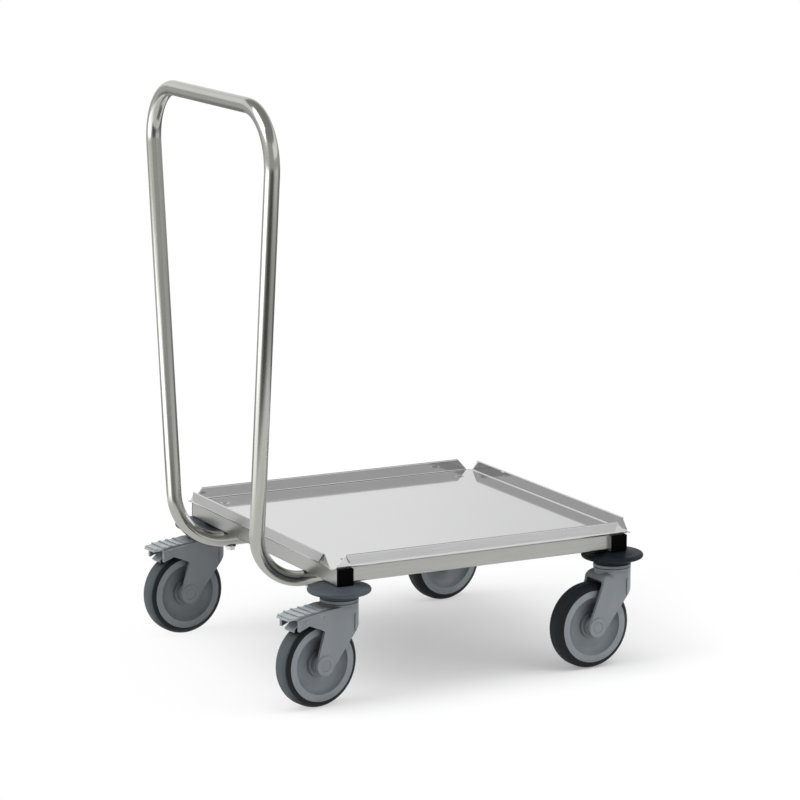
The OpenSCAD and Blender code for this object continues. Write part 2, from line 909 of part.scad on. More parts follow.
// Copies a piece to both faces of the wheel, at a distance from its middle
module both_faces(z) {
    translate([0, 0, z])
        children();
    mirror([0, 0, 1])
        translate([0, 0, z])
            children();
}

module tyre() {
    flat = wheel_w / 2 - shoulder_r;
    color([0.16, 0.18, 0.2])
        on_axle()
            rotate_extrude()
                intersection() {
                    union() {
                        for (side = [-1, 1])
                            translate([wheel_r - shoulder_r, side * flat])
                                circle(shoulder_r);
                        translate([0, -flat])
                            square([wheel_r, 2 * flat]);
                    }
                    translate([seat_r, -wheel_w])
                        square([far, 2 * wheel_w]);
                }
}

// Two sealed ball bearings in the hub
module bearings() {
    outer = fork_half - bearing_gap;
    color([0.62, 0.63, 0.64])
        on_axle()
            both_faces(outer - bearing_w)
                difference() {
                    cylinder(r = bearing_r, h = bearing_w);
                    translate([0, 0, -bearing_w])
                        cylinder(r = axle_r + running, h = 3 * bearing_w);
                }
}

// Brakes

module pedal() {
    half = fork_half - moving;
    top_in = crown_z + pedal_rise_in;
    top_mid = crown_z + pedal_rise_mid;
    top_tip = crown_z + pedal_rise_tip;
    sole = top_mid - pedal_t;
    inner = crown_r - 10;
    knee_x = hinge_x + 10;
    knee_rise = 1.2;
    hub = pin_r + 2;
    web_in = half - 5.5;
    cheek_x = hinge_x + 15;
    cheek_z = stop_z - 5;
    lift = (stop_x - hinge_x) * sin(pedal_travel) + running;
    fall = (pedal_tip - stop_x) / (top_mid - top_tip);
    tread_pitch = (pedal_tip - hinge_x - 2 * tread_w) / (tread_n - 1);
    color([0.62, 0.65, 0.66])
        difference() {
            union() {
                across(-half, half)
                    polygon([[inner, top_in], [knee_x, top_mid + knee_rise], [stop_x, top_mid],
                        [pedal_tip, top_tip], [pedal_tip, top_tip - pedal_t], [stop_x + 2, sole],
                        [hinge_x + 5, sole], [inner, top_in - 4]]);
                // Treads across the top
                for (i = [1 : tread_n]) {
                    x = pedal_tip - tread_w - (i - 1) * tread_pitch;
                    climb = knee_rise / (stop_x - knee_x);
                    z = top_mid + (x > stop_x ? (stop_x - x) / fall : (stop_x - x) * climb);
                    across(-half, half)
                        translate([x - tread_w / 2, z - tread_h])
                            square([tread_w, 2 * tread_h]);
                }
                // Ears on the hinge pin
                both_sides()
                    across(web_in, half) {
                        translate([hinge_x, hinge_z])
                            circle(hub);
                        translate([hinge_x - hub, hinge_z])
                            square([2 * hub, sole + 0.5 - hinge_z]);
                    }
                // Cheeks with the slots for the stop pin
                both_sides()
                    across(web_in, half)
                        polygon([[cheek_x, top_mid - 1], [cheek_x, stop_z], [stop_x - 5, cheek_z],
                            [stop_x + 5, cheek_z], [stop_x + 10, top_mid - 3]]);
            }
            // Concave inner end around the crown
            cylinder(r = crown_r + 1, h = far);
            across(-far / 2, far / 2)
                translate([hinge_x, hinge_z])
                    circle(pin_r + running);
            // Slot that lets the pedal swing down past the stop pin
            across(-far / 2, far / 2)
                for (rise = [0, lift])
                    translate([stop_x, stop_z + rise])
                        circle(pin_r + running + bolt_clear);
            across(-far / 2, far / 2)
                translate([stop_x - pin_r - running - bolt_clear, stop_z])
                    square([2 * (pin_r + running + bolt_clear), lift]);
            // Sides of the tip taper
            both_sides()
                linear_extrude(height = far)
                    polygon([[stop_x + cheek_l, half], [pedal_tip + 1, pedal_tip_w / 2],
                        [pedal_tip + 1, far], [stop_x + cheek_l, far]]);
        }
}

// Block under the pedal that presses on the tyre
module brake_pad() {
    top = crown_z + pedal_rise_mid - pedal_t;
    mid = (hinge_x + stop_x) / 2 + 4;
    color([0.1, 0.1, 0.11])
        difference() {
            translate([mid - pad_l / 2, -pad_w / 2, top - far / 8])
                cube([pad_l, pad_w, far / 8]);
            on_axle()
                cylinder(r = wheel_r + pad_gap, h = far, center = true);
        }
}

// Lever on the stop pin that a toe lifts to let the pedal up
module release_lever() {
    color([0.55, 0.58, 0.6])
        difference() {
            across(-lever_w / 2, lever_w / 2)
                translate([stop_x, stop_z])
                    rotate([0, 0, -lever_slope]) {
                        circle(lever_hub_r);
                        translate([0, -lever_t])
                            square([lever_l, lever_t]);
                        translate([lever_l - lever_t, -2 * lever_t])
                            square([lever_t, 2 * lever_t]);
                    }
            across(-far / 2, far / 2)
                translate([stop_x, stop_z])
                    circle(pin_r + running);
        }
}

// Hinge pin and stop pin
module brake_pins() {
    color([0.72, 0.73, 0.74])
        for (pin = [[hinge_x, hinge_z], [stop_x, stop_z]])
            across(-leg_face - pin_past, leg_face + pin_past)
                translate(pin)
                    circle(pin_r);
}

// Points of a ring of the spring's wire at a number of turns along it
SPRING_SIDES = 6;
SPRING_RINGS = 8;
function wire_ring(turns, pitch, coil) = [
    for (k = [0 : SPRING_SIDES - 1])
        let (side = k * 360 / SPRING_SIDES, r = coil + spring_wire / 2 * cos(side))
        [r * cos(turns * 360), turns * pitch + spring_wire / 2 * sin(side), r * sin(turns * 360)]
];

// Torsion spring around the hinge pin
module brake_spring() {
    coil = pin_r + spring_wire / 2 + bolt_clear;
    pitch = spring_wire + 2 * moving;
    count = spring_turns * SPRING_RINGS;
    rings = [for (i = [0 : count]) wire_ring(i / SPRING_RINGS, pitch, coil)];
    points = [for (ring = rings) for (p = ring) p];
    sides = [
        for (i = [0 : count - 1], k = [0 : SPRING_SIDES - 1])
            let (a = i * SPRING_SIDES + k, b = i * SPRING_SIDES + (k + 1) % SPRING_SIDES)
            each [[a, b, b + SPRING_SIDES], [a, b + SPRING_SIDES, a + SPRING_SIDES]]
    ];
    ends = [
        for (k = [1 : SPRING_SIDES - 2])
            let (last = count * SPRING_SIDES)
            each [[0, k + 1, k], [last, last + k, last + k + 1]]
    ];
    color([0.6, 0.6, 0.6])
        translate([hinge_x, -spring_turns * pitch / 2, hinge_z])
            polyhedron(points, concat(sides, ends));
}

module rear_right_bumper() {
    at_rear_right()
        bumper_disc();
}

module rear_left_bumper() {
    at_rear_left()
        bumper_disc();
}

module front_right_bumper() {
    at_front_right()
        bumper_disc();
}

module front_left_bumper() {
    at_front_left()
        bumper_disc();
}

module rear_right_swivel_plate() {
    at_rear_right()
        swivel_plate();
}

module rear_left_swivel_plate() {
    at_rear_left()
        swivel_plate();
}

module front_right_swivel_plate() {
    at_front_right()
        swivel_plate();
}

module front_left_swivel_plate() {
    at_front_left()
        swivel_plate();
}

module rear_right_swivel_balls() {
    at_rear_right()
        swivel_balls();
}

module rear_left_swivel_balls() {
    at_rear_left()
        swivel_balls();
}

module front_right_swivel_balls() {
    at_front_right()
        swivel_balls();
}

module front_left_swivel_balls() {
    at_front_left()
        swivel_balls();
}

module rear_right_fork() {
    at_rear_right()
        fork(true);
}

module rear_left_fork() {
    at_rear_left()
        fork(true);
}

module front_right_fork() {
    at_front_right()
        fork(false);
}

module front_left_fork() {
    at_front_left()
        fork(false);
}

module rear_right_axle() {
    at_rear_right()
        axle();
}

module rear_left_axle() {
    at_rear_left()
        axle();
}

module front_right_axle() {
    at_front_right()
        axle();
}

module front_left_axle() {
    at_front_left()
        axle();
}

module rear_right_axle_nut() {
    at_rear_right()
        axle_nut();
}

module rear_left_axle_nut() {
    at_rear_left()
        axle_nut();
}

module front_right_axle_nut() {
    at_front_right()
        axle_nut();
}

module front_left_axle_nut() {
    at_front_left()
        axle_nut();
}

module rear_right_rim() {
    at_rear_right()
        rim();
}

module rear_left_rim() {
    at_rear_left()
        rim();
}

module front_right_rim() {
    at_front_right()
        rim();
}

module front_left_rim() {
    at_front_left()
        rim();
}

module rear_right_tyre() {
    at_rear_right()
        tyre();
}

module rear_left_tyre() {
    at_rear_left()
        tyre();
}

module front_right_tyre() {
    at_front_right()
        tyre();
}

module front_left_tyre() {
    at_front_left()
        tyre();
}

module rear_right_bearings() {
    at_rear_right()
        bearings();
}

module rear_left_bearings() {
    at_rear_left()
        bearings();
}

module front_right_bearings() {
    at_front_right()
        bearings();
}

module front_left_bearings() {
    at_front_left()
        bearings();
}

module rear_right_pedal() {
    at_rear_right()
        pedal();
}

module rear_left_pedal() {
    at_rear_left()
        pedal();
}

module rear_right_brake_pad() {
    at_rear_right()
        brake_pad();
}

module rear_left_brake_pad() {
    at_rear_left()
        brake_pad();
}

module rear_right_release_lever() {
    at_rear_right()
        release_lever();
}

module rear_left_release_lever() {
    at_rear_left()
        release_lever();
}

module rear_right_brake_pins() {
    at_rear_right()
        brake_pins();
}

module rear_left_brake_pins() {
    at_rear_left()
        brake_pins();
}

module rear_right_brake_spring() {
    at_rear_right()
        brake_spring();
}

module rear_left_brake_spring() {
    at_rear_left()
        brake_spring();
}

deck_tray();
rear_cross_tube();
front_cross_tube();
left_side_rail();
right_side_rail();
tube_end_plugs();
left_handle_leg();
right_handle_leg();
handle_top_bar();
handle_end_plugs();
handle_bolts();
handle_nuts();
stem_nuts();
kingpin_collars();
rear_right_bumper();
rear_left_bumper();
front_right_bumper();
front_left_bumper();
rear_right_swivel_plate();
rear_left_swivel_plate();
front_right_swivel_plate();
front_left_swivel_plate();
rear_right_swivel_balls();
rear_left_swivel_balls();
front_right_swivel_balls();
front_left_swivel_balls();
rear_right_fork();
rear_left_fork();
front_right_fork();
front_left_fork();
rear_right_axle();
rear_left_axle();
front_right_axle();
front_left_axle();
rear_right_axle_nut();
rear_left_axle_nut();
front_right_axle_nut();
front_left_axle_nut();
rear_right_rim();
rear_left_rim();
front_right_rim();
front_left_rim();
rear_right_tyre();
rear_left_tyre();
front_right_tyre();
front_left_tyre();
rear_right_bearings();
rear_left_bearings();
front_right_bearings();
front_left_bearings();
rear_right_pedal();
rear_left_pedal();
rear_right_brake_pad();
rear_left_brake_pad();
rear_right_release_lever();
rear_left_release_lever();
rear_right_brake_pins();
rear_left_brake_pins();
rear_right_brake_spring();
rear_left_brake_spring();
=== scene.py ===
"""Looks for the dish rack dolly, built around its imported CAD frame."""

import json
import math

import bmesh
import bpy
from mathutils import Matrix, Vector


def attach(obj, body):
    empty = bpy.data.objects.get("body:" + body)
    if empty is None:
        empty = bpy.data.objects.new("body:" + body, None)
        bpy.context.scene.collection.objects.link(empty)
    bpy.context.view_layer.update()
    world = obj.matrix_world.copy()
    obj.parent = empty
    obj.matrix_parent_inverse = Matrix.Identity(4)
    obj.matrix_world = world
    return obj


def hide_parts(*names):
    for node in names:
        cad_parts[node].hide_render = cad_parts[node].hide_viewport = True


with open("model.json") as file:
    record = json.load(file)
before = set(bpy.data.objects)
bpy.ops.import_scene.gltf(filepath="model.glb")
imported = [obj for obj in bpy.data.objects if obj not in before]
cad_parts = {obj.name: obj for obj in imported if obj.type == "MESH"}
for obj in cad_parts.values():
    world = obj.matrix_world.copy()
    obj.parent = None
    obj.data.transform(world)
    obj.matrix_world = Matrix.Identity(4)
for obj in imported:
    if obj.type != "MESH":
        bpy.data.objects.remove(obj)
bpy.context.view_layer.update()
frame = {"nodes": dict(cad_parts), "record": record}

MM = 0.001
NODES = frame["nodes"]
SLOT_OF = {s["node"]: s["material_slot"] for s in frame["record"]["subparts"]}
BRAKED = ("rear_right", "rear_left")
FREE = ("front_right", "front_left")

# Sizes in millimetres, the same as in part.scad
ORIGIN_X = 28.7521215741468
DECK_SIDE, SHEET_T, LIP_H, LIP_GAP, LIP_CUT = 481, 1.5, 19, 8, 15
FLAP_W, FLAP_ANGLE, FOLD_R, BEND_R = 14, 14, 1.7, 1.5
DRAIN_AT, DECK_Z = 198.5, 194
HANDLE_X, HANDLE_R, HANDLE_T, HANDLE_H = -306.5, 11, 1.5, 828
HANDLE_FOOT_W, HANDLE_LEAN, HANDLE_TOP_R, HANDLE_FOOT_R = 268, 6.3, 78, 74
HANDLE_FOOT_END, FOOT_Z = -183.5, 158
# What the fold's radius lacks to the CAD's, so that the sheet stays inside the CAD's box
FOLD_EASE = 0.05

# Faces along each stretch of the handle's centre line, around its tube, and in the sheet's bends and drains
FOOT_STEPS, FOOT_ARC_STEPS, LEG_STEPS, TOP_ARC_STEPS, BAR_STEPS, TUBE_SIDES = 3, 24, 8, 26, 6, 48
BEND_STEPS, FOLD_STEPS, DRAIN_SIDES = 6, 8, 40

# Camera, in metres and degrees
CAM_TARGET = Vector((0.04321, 0.04373, 0.35958))
CAM_AZ, CAM_EL, CAM_DISTANCE, CAM_LENS = -27.5, 11.22, 5.2655, 161.11


# Camera, room and lights

def back_vector(azimuth, elevation):
    """Unit vector from the target toward a camera at these angles."""
    a, e = math.radians(azimuth), math.radians(elevation)
    return Vector((math.sin(a) * math.cos(e), -math.cos(a) * math.cos(e), math.sin(e)))


def link(obj):
    bpy.context.scene.collection.objects.link(obj)
    return obj


def make_camera():
    data = bpy.data.cameras.new("camera")
    data.sensor_width = 36
    data.lens = CAM_LENS
    data.clip_end = 100
    cam = link(bpy.data.objects.new("camera", data))
    back = back_vector(CAM_AZ, CAM_EL)
    cam.location = CAM_TARGET + back * CAM_DISTANCE
    cam.rotation_mode = "QUATERNION"
    cam.rotation_quaternion = (-back).to_track_quat("-Z", "Y")
    bpy.context.scene.camera = cam


def area_lamp(name, azimuth, elevation, distance, size, watts, glossy=False):
    """Soft lamp that looks at the dolly from an azimuth measured like the camera's, mirrored if glossy."""
    data = bpy.data.lights.new(name, "AREA")
    data.shape = "RECTANGLE"
    data.size, data.size_y = size
    data.energy = watts
    lamp = link(bpy.data.objects.new(name, data))
    back = back_vector(azimuth, elevation)
    lamp.location = Vector((0, 0, 0.25)) + back * distance
    lamp.rotation_mode = "QUATERNION"
    lamp.rotation_quaternion = (-back).to_track_quat("-Z", "Y")
    lamp.visible_camera = False
    lamp.visible_glossy = glossy


class Tree:
    """Short calls that build a node tree."""

    def __init__(self, owner):
        owner.use_nodes = True
        self.tree = owner.node_tree
        self.tree.nodes.clear()

    def node(self, kind, inputs=None, **settings):
        n = self.tree.nodes.new(kind)
        for key, value in settings.items():
            setattr(n, key, value)
        for key, value in (inputs or {}).items():
            if isinstance(value, bpy.types.NodeSocket):
                self.tree.links.new(value, n.inputs[key])
            else:
                n.inputs[key].default_value = value
        return n

    def math(self, operation, a, b=0.0, clamp=False):
        n = self.node("ShaderNodeMath", {0: a, 1: b}, operation=operation, use_clamp=clamp)
        return n.outputs[0]

    def remap(self, value, low, high, to_low=0.0, to_high=1.0):
        n = self.node("ShaderNodeMapRange", {"Value": value, "From Min": low, "From Max": high,
                                             "To Min": to_low, "To Max": to_high})
        return n.outputs[0]

    def noise(self, coords, scale, detail=2.0, stretch=None):
        """Noise of a number of cells per metre, stretched along an axis if asked."""
        if stretch:
            coords = self.node("ShaderNodeMapping", {"Vector": coords, "Scale": stretch}).outputs[0]
        n = self.node("ShaderNodeTexNoise", {"Vector": coords, "Scale": scale, "Detail": detail})
        return n.outputs["Fac"]

    def blend(self, share, a, b):
        """Sum of two values, the first with this share and the second with the rest."""
        return self.math("ADD", self.math("MULTIPLY", a, share), self.math("MULTIPLY", b, 1 - share))

    def mix(self, factor, low, high):
        """Blend of two colours, each a socket or three numbers."""
        low, high = [c if isinstance(c, bpy.types.NodeSocket) else (*c, 1) for c in (low, high)]
        return self.node("ShaderNodeMix", {0: factor, 6: low, 7: high}, data_type="RGBA").outputs[2]

    def glow(self, colour, strength):
        return self.node("ShaderNodeEmission", {"Color": colour, "Strength": strength}).outputs[0]

    def mix_shaders(self, factor, low, high):
        return self.node("ShaderNodeMixShader", {0: factor, 1: low, 2: high}).outputs[0]

    def surface(self, shader):
        self.node("ShaderNodeOutputMaterial", {"Surface": shader})


WHITE = (1, 1, 1, 1)


def seen_rays(t):
    """1 for camera, glossy and transmission rays, and 0 for the rays that light surfaces."""
    path = t.node("ShaderNodeLightPath")
    seen = t.math("MAXIMUM", path.outputs["Is Camera Ray"], path.outputs["Is Glossy Ray"])
    return t.math("MAXIMUM", seen, path.outputs["Is Transmission Ray"])


def make_world(ambient):
    """White background, with a softer light than it shows."""
    world = bpy.data.worlds.new("studio")
    bpy.context.scene.world = world
    t = Tree(world)
    soft, white = [t.node("ShaderNodeBackground", {"Color": WHITE, "Strength": level}).outputs[0]
                   for level in (ambient, 1.0)]
    t.node("ShaderNodeOutputWorld", {"Surface": t.mix_shaders(seen_rays(t), soft, white)})


def studio_object(name, bm):
    """An object of the studio, and the node tree of its material."""
    mesh = bpy.data.meshes.new(name)
    bm.to_mesh(mesh)
    bm.free()
    obj = link(bpy.data.objects.new(name, mesh))
    material = bpy.data.materials.new(name)
    mesh.materials.append(material)
    return obj, Tree(material)


def make_floor(colour, middle, bleach, fade_from, fade_to):
    """Pale floor that keeps the shadow around its middle and fades into the white background."""
    bm = bmesh.new()
    bmesh.ops.create_grid(bm, x_segments=4, y_segments=4, size=30)
    floor, t = studio_object("floor", bm)
    position = t.node("ShaderNodeTexCoord").outputs["Object"]
    reach = t.node("ShaderNodeVectorMath", {0: position, 1: middle}, operation="DISTANCE")
    fade = t.node("ShaderNodeMapRange", {"Value": reach.outputs["Value"], "From Min": fade_from,
                                         "From Max": fade_to}, interpolation_type="SMOOTHSTEP").outputs[0]
    matte = t.node("ShaderNodeBsdfDiffuse", {"Color": (*colour, 1)}).outputs[0]
    factor = t.math("MULTIPLY", t.remap(fade, 0, 1, bleach, 1), seen_rays(t))
    t.surface(t.mix_shaders(factor, matte, t.glow(WHITE, 1.0)))


# Brightness of the studio's floor, low wall and high wall, by degrees to the right of the camera
SURROUND_FLOOR = ((-180, 0.3), (-135, 0.42), (-112, 0.7), (-98, 1.3), (-90, 3.1), (-50, 3.1), (-42, 1.1),
                  (-30, 0.4), (-12, 0.14), (12, 0.12), (26, 0.42), (38, 0.78), (60, 0.88), (84, 0.88),
                  (98, 0.55), (115, 0.25), (180, 0.25))
SURROUND_LOW = ((-180, 0.95), (-172, 1.0), (-150, 0.93), (-135, 0.66), (-110, 0.62), (-92, 0.9), (-40, 0.9),
                (-26, 0.6), (25, 0.62), (42, 0.66), (105, 0.6), (140, 0.55), (172, 0.82), (180, 0.95))
SURROUND_HIGH = ((-180, 0.95), (-172, 1.0), (-150, 1.0), (-140, 1.2), (-105, 1.2), (-92, 1.2), (-40, 1.0),
                 (-26, 0.6), (25, 0.6), (42, 1.5), (105, 1.3), (140, 0.8), (172, 0.82), (180, 0.95))
# Heights in metres where the floor's brightness gives way to the low wall's, and that to the high wall's
SURROUND_RISE = ((0.05, 0.4), (1.35, 1.5))
# The brightest of these levels, which is 1 in the colour ramps
SURROUND_TOP = 3.1
# Brightness of the white floor near the dolly, and the radii in metres where it ends
NEAR_LEVEL, NEAR_ENDS = 1.25, (1.08, 1.3)
# Radii where the floor beyond is dimmed and lifted, by how much, and the heights where the wall is neither
FLOOR_REACH, FLOOR_DIM, FLOOR_LIFT, FLOOR_ENDS = (1.7, 2.6), 0.6, 1.2, (0.1, 0.5)
# The surround's cross-section from the floor near the dolly to the ceiling, in metres
SURROUND_PROFILE = ((0.95, 0.003), (1.6, 0.003), (4.2, 0.003), (4.2, 3.6))
SURROUND_SIDES = 96


def level_ramp(t, around, levels):
    """Brightness by direction, as a share of the top level."""
    ramp = t.node("ShaderNodeValToRGB", {0: around})
    stops = ramp.color_ramp.elements
    for degrees, level in levels:
        place = (degrees + 180) / 360
        stop = stops[0] if place == 0 else stops[-1] if place == 1 else stops.new(place)
        stop.color = (*[level / SURROUND_TOP] * 3, 1)
    return ramp.outputs[0]


def make_surround():
    """Curved screens and dark flags around the dolly, which only reflections see."""
    bm = bmesh.new()
    turns = [math.tau * i / SURROUND_SIDES for i in range(SURROUND_SIDES)]
    rings = [[bm.verts.new((r * math.cos(a), r * math.sin(a), z)) for a in turns]
             for r, z in SURROUND_PROFILE]
    for low, high in zip(rings, rings[1:]):
        for i in range(SURROUND_SIDES):
            k = (i + 1) % SURROUND_SIDES
            bm.faces.new((low[i], high[i], high[k], low[k]))
    wall, t = studio_object("surround", bm)
    # Turned so that its own +X points from the dolly toward the camera
    wall.rotation_euler = (0, 0, math.radians(CAM_AZ - 90))
    position = t.node("ShaderNodeTexCoord").outputs["Object"]
    xyz = t.node("ShaderNodeSeparateXYZ", {0: position}).outputs
    around = t.remap(t.math("ARCTAN2", xyz[1], xyz[0]), -math.pi, math.pi)
    level = level_ramp(t, around, SURROUND_FLOOR)
    for levels, heights in zip((SURROUND_LOW, SURROUND_HIGH), SURROUND_RISE):
        level = t.mix(t.remap(xyz[2], *heights), level, level_ramp(t, around, levels))
    reach = t.node("ShaderNodeVectorMath", {0: position}, operation="LENGTH").outputs["Value"]
    strength = t.math("MULTIPLY",
                      t.remap(reach, *FLOOR_REACH, FLOOR_DIM * SURROUND_TOP, FLOOR_LIFT * SURROUND_TOP),
                      t.remap(xyz[2], *FLOOR_ENDS, 1.0, 1 / FLOOR_LIFT))
    t.surface(t.mix_shaders(t.remap(reach, *NEAR_ENDS), t.glow(WHITE, NEAR_LEVEL), t.glow(level, strength)))
    only_reflections(wall)


def only_reflections(card):
    """A card that reflections see, and that neither the camera nor the light does."""
    for ray in ("camera", "diffuse", "transmission", "volume_scatter", "shadow"):
        setattr(card, "visible_" + ray, False)


def make_ceiling(radius, height, level):
    """Dark ceiling over the surround."""
    bm = bmesh.new()
    bmesh.ops.create_circle(bm, cap_ends=True, segments=64, radius=radius)
    card, t = studio_object("ceiling", bm)
    card.location = (0, 0, height)
    t.surface(t.glow((level, level, level, 1), 1.0))
    only_reflections(card)


# Materials

# Share of open air around a point in a recess and in the open, between which the painted shade of recesses
# fades
RECESS, OPEN = 0.25, 0.95


def painted_recess_shade(t, colour, reach, dark):
    """Colour with painted shade, which darkens it in corners and recesses where little open air is around.
    """
    open_air = t.node("ShaderNodeAmbientOcclusion", {"Distance": reach}, samples=8).outputs["AO"]
    shade = t.remap(open_air, RECESS, OPEN, dark, 1.0)
    return t.node("ShaderNodeVectorMath", {0: colour, "Scale": shade}, operation="SCALE").outputs[0]


def coat(t, colour, metallic, roughness, bump, specular=0.5):
    """The material's surface."""
    t.surface(t.node("ShaderNodeBsdfPrincipled", {
        "Base Color": colour, "Metallic": metallic, "Roughness": roughness, "Specular IOR Level": specular,
        "Normal": bump.outputs[0]}).outputs[0])


# Width in metres over which a tray's glossy inside gives way to its flaps
TRAY_EDGE = 0.0004


def steel(name, low, high, rough, grain, coords="Object", depth=0.00002, tray=None):
    """Ground stainless steel, with grain stretched along one axis, glossier inside a tray's lips."""
    m = bpy.data.materials.new(name)
    t = Tree(m)
    place = t.node("ShaderNodeTexCoord").outputs[coords]
    lines = t.noise(place, 1.0, 3.0, grain)
    fine = t.noise(place, 1.0, 1.0, [g * 2.7 for g in grain])
    cloud = t.noise(place, 9.0, 2.0)
    both = t.blend(0.6, lines, fine)
    colour = t.mix(t.remap(t.blend(0.7, lines, cloud), 0.3, 0.7), low, high)
    strength = 0.5
    roughness = t.remap(t.blend(0.6, both, cloud), 0.3, 0.7, *rough)
    if tray:
        half, gloss = tray
        xyz = t.node("ShaderNodeSeparateXYZ", {0: place}).outputs
        out = t.math("MAXIMUM", t.math("ABSOLUTE", t.math("SUBTRACT", xyz[0], ORIGIN_X * MM)),
                     t.math("ABSOLUTE", xyz[1]))
        coarse = t.remap(out, half - TRAY_EDGE, half, gloss, 1.0)
        roughness = t.math("MULTIPLY", roughness, coarse)
        strength = t.math("MULTIPLY", coarse, strength)
    bump = t.node("ShaderNodeBump", {"Height": both, "Strength": strength, "Distance": depth})
    coat(t, colour, 1.0, roughness, bump)
    return m


def plastic(name, low, high, rough, texture=1400.0, depth=0.00004, specular=0.5, recess_shade=(0.022, 0.4)):
    """Moulded plastic with a fine spark-eroded texture, faint flow marks and painted shade in its recesses.
    """
    m = bpy.data.materials.new(name)
    t = Tree(m)
    place = t.node("ShaderNodeTexCoord").outputs["Object"]
    skin = t.noise(place, texture, 2.0)
    cloud = t.noise(place, 38.0, 3.0)
    flow = t.noise(place, 1.0, 2.0, (60, 60, 14))
    # Painted shade darkens the colour in corners and recesses
    colour = painted_recess_shade(t, t.mix(t.remap(t.blend(0.5, cloud, flow), 0.32, 0.68), low, high), *recess_shade)
    bump = t.node("ShaderNodeBump", {"Height": skin, "Strength": 0.35, "Distance": depth})
    roughness = t.remap(t.blend(0.5, skin, cloud), 0.3, 0.7, *rough)
    coat(t, colour, 0.0, roughness, bump, specular)
    return m


# Direction of the wheels' axles, the mean of the four casters at rest
AXLES = (0.109, -0.994, 0)
# How far a tyre's surface faces along its axle where the side is black and where the tread takes its own
# colour, dust and painted light in one
TYRE_SIDE, TYRE_TREAD = 0.85, 0.68
# Distance in metres over which a tyre's recesses darken with painted shade, and the share of their colour
# that they keep
TYRE_RECESS_SHADE = (0.035, 0.1)


def rubber(name, low, high, rough, tread_dust_and_light=None):
    """Rubber with a dusty bloom and small scuffs, and with a tyre's tread in a colour of its own, dust and
    painted light in one.
    """
    m = bpy.data.materials.new(name)
    t = Tree(m)
    place = t.node("ShaderNodeTexCoord").outputs["Object"]
    skin = t.noise(place, 900.0, 3.0)
    bloom = t.noise(place, 26.0, 4.0)
    scuff = t.remap(t.noise(place, 160.0, 4.0), 0.52, 0.66)
    shade = t.math("ADD", t.math("MULTIPLY", bloom, 0.75), t.math("MULTIPLY", scuff, 0.12))
    colour = t.mix(t.remap(shade, 0.25, 0.6), low, high)
    if tread_dust_and_light:
        normal = t.node("ShaderNodeTexCoord").outputs["Normal"]
        dot = t.node("ShaderNodeVectorMath", {0: normal, 1: AXLES}, operation="DOT_PRODUCT").outputs["Value"]
        side = t.math("ADD", t.math("ABSOLUTE", dot), t.math("MULTIPLY", bloom, 0.2))
        colour = painted_recess_shade(t, t.mix(t.remap(side, TYRE_SIDE, TYRE_TREAD), colour, tread_dust_and_light), *TYRE_RECESS_SHADE)
    height = t.blend(0.6, skin, scuff)
    bump = t.node("ShaderNodeBump", {"Height": height, "Strength": 0.4, "Distance": 0.00008})
    coat(t, colour, 0.0, t.remap(bloom, 0.3, 0.7, *rough), bump, 0.25)
    return m


